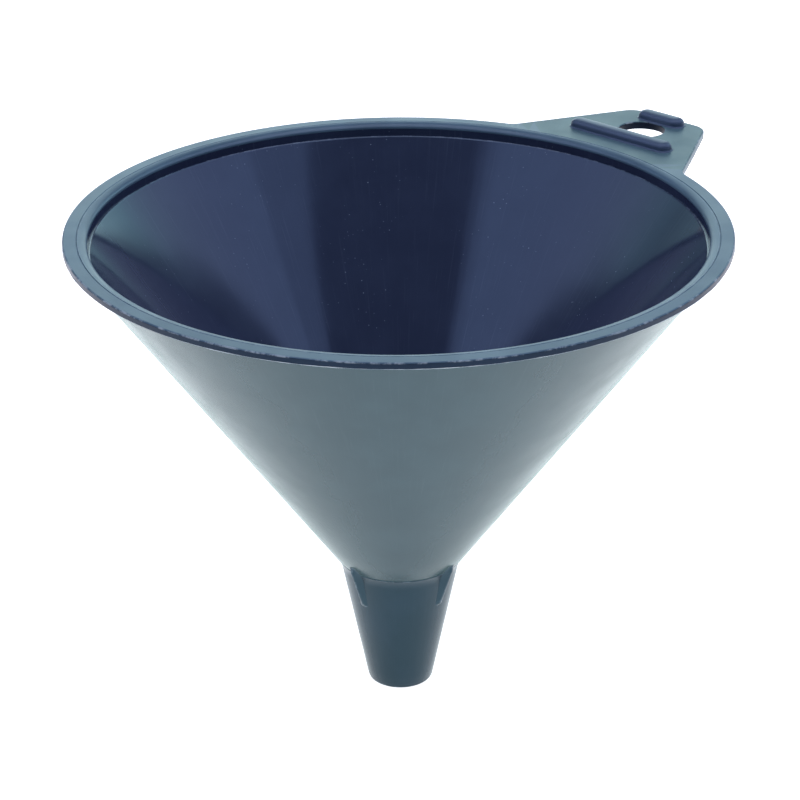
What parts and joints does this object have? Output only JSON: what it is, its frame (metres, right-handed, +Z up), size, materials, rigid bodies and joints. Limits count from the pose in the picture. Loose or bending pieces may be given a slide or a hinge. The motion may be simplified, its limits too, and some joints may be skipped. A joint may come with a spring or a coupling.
{
  "type": "funnel",
  "caption": "Wide conical plastic funnel with a flat rim, a short tapered spout with vent ribs, and a flat hanging tab with a hole beside the rim.",
  "frame": {"origin": "on the funnel's axis, in the plane of the spout's tip, where a bottle's neck or a filler takes the spout", "axes": "+Z up along the funnel's axis from the spout to the rim, +X from the axis to the middle of the hanging tab"},
  "size_m": [0.1777, 0.1524, 0.1205],
  "materials": {
    "slate_plastic": "injection-moulded polyethylene, dark slate, soft gloss"
  },
  "bodies": {
    "root": {"bowl": "slate_plastic", "rim_collar": "slate_plastic", "rim_flange": "slate_plastic", "hang_tab": "slate_plastic", "tab_rib_long": "slate_plastic", "tab_rib_short": "slate_plastic", "spout_shoulder": "slate_plastic", "spout": "slate_plastic", "vent_rib_1": "slate_plastic", "vent_rib_2": "slate_plastic", "vent_rib_3": "slate_plastic", "vent_rib_4": "slate_plastic"}
  },
  "joints": []
}
